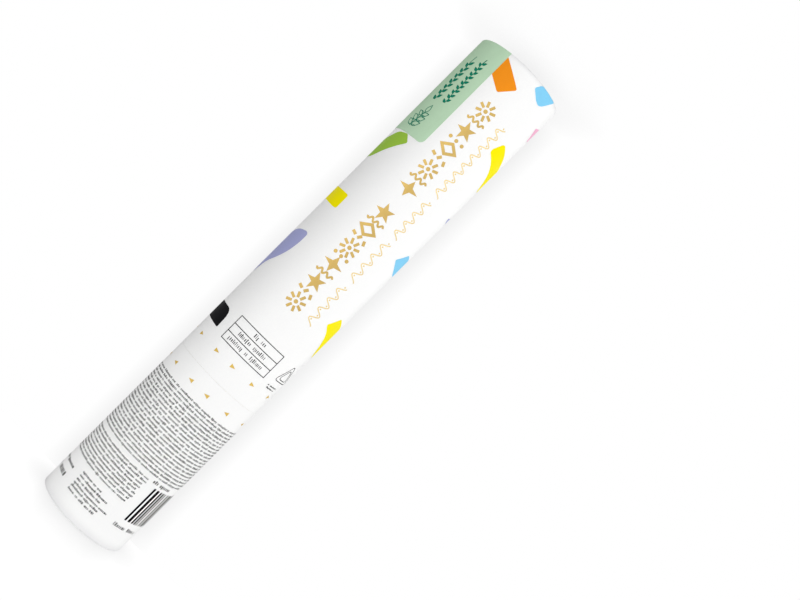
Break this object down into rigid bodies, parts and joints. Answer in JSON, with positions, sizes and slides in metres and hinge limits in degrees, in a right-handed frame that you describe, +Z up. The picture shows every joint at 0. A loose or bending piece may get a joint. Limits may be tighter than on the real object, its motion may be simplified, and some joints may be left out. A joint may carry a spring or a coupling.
{
  "type": "twist confetti cannon",
  "caption": "Hand-held confetti popper: a paper-wrapped board tube whose barrel twists on its handle, driving a pin into a gas bottle so that tissue slips leave the muzzle.",
  "frame": {"origin": "centre of the foot, on the surface that the tube stands on", "axes": "+Z up the tube from the foot to the muzzle; the side seen in the picture faces -Y, and its green sticker is towards -X"},
  "size_m": [0.0502, 0.05, 0.3],
  "materials": {
    "board": "matt, spiral-wound",
    "wrap": "satin printed white",
    "sticker": "matt green",
    "base_plastic": "moulded, matt",
    "foam": "closed-cell foam",
    "bottle_metal": "drawn, satin",
    "foil": "bright foil",
    "ferrule_metal": "gold-lacquered",
    "gasket_rubber": "matt black",
    "cam_plastic": "moulded, matt",
    "carrier_plastic": "moulded, matt",
    "pin_steel": "ground",
    "spring_steel": "bright drawn wire",
    "guide_plastic": "moulded, matt",
    "ring_plastic": "moulded, matt",
    "felt": "pressed grey felt",
    "card": "grey board",
    "tissue_lilac": "tissue",
    "tissue_yellow": "tissue",
    "tissue_sky": "tissue",
    "tissue_lime": "tissue",
    "tissue_orange": "tissue",
    "tissue_blush": "tissue",
    "muzzle_wrap": "matt white"
  },
  "bodies": {
    "handle": {"handle_tube": "board", "handle_label": "wrap", "base_plug": "base_plastic", "bottle_pad": "foam", "gas_bottle": "bottle_metal", "foil_seal": "foil", "crimp_ferrule": "ferrule_metal", "neck_gasket": "gasket_rubber", "cam_sleeve": "cam_plastic", "cam_o_ring": "gasket_rubber", "standoff_spring": "spring_steel", "retaining_ring": "ring_plastic"},
    "barrel": {"barrel_tube": "board", "barrel_label": "wrap", "side_sticker": "sticker", "guide_sleeve": "guide_plastic", "diffuser_plate": "ring_plastic"},
    "striker": {"pin_carrier": "carrier_plastic", "piercing_pin": "pin_steel", "follower_pins": "pin_steel"},
    "charge": {"felt_wad": "felt", "pusher_card": "card", "confetti_lilac": "tissue_lilac", "confetti_yellow": "tissue_yellow", "confetti_sky": "tissue_sky", "confetti_lime": "tissue_lime", "confetti_orange": "tissue_orange", "confetti_blush": "tissue_blush"},
    "closure": {"muzzle_disc": "card", "muzzle_paper": "muzzle_wrap"}
  },
  "joints": [
    {"name": "twist", "type": "hinge", "parent": "handle", "child": "barrel", "pos_m": [0, 0, 0.094], "axis": [0, 0, 1], "range_deg": [0, 90]},
    {"name": "striker_slide", "type": "slide", "parent": "barrel", "child": "striker", "axis": [0, 0, -1], "range_m": [0, 0.006], "deforming": ["standoff_spring", "foil_seal"]},
    {"name": "charge_slide", "type": "slide", "parent": "barrel", "child": "charge", "axis": [0, 0, 1], "range_m": [0, 0.19]},
    {"name": "closure_slide", "type": "slide", "parent": "barrel", "child": "closure", "axis": [0, 0, 1], "range_m": [0, 0.228]}
  ],
  "couplings": [
    {"joint": "striker_slide", "follows": "twist", "m_per_rad": 0.0038197},
    {"joint": "closure_slide", "follows": "charge_slide", "ratio": 1.2}
  ]
}
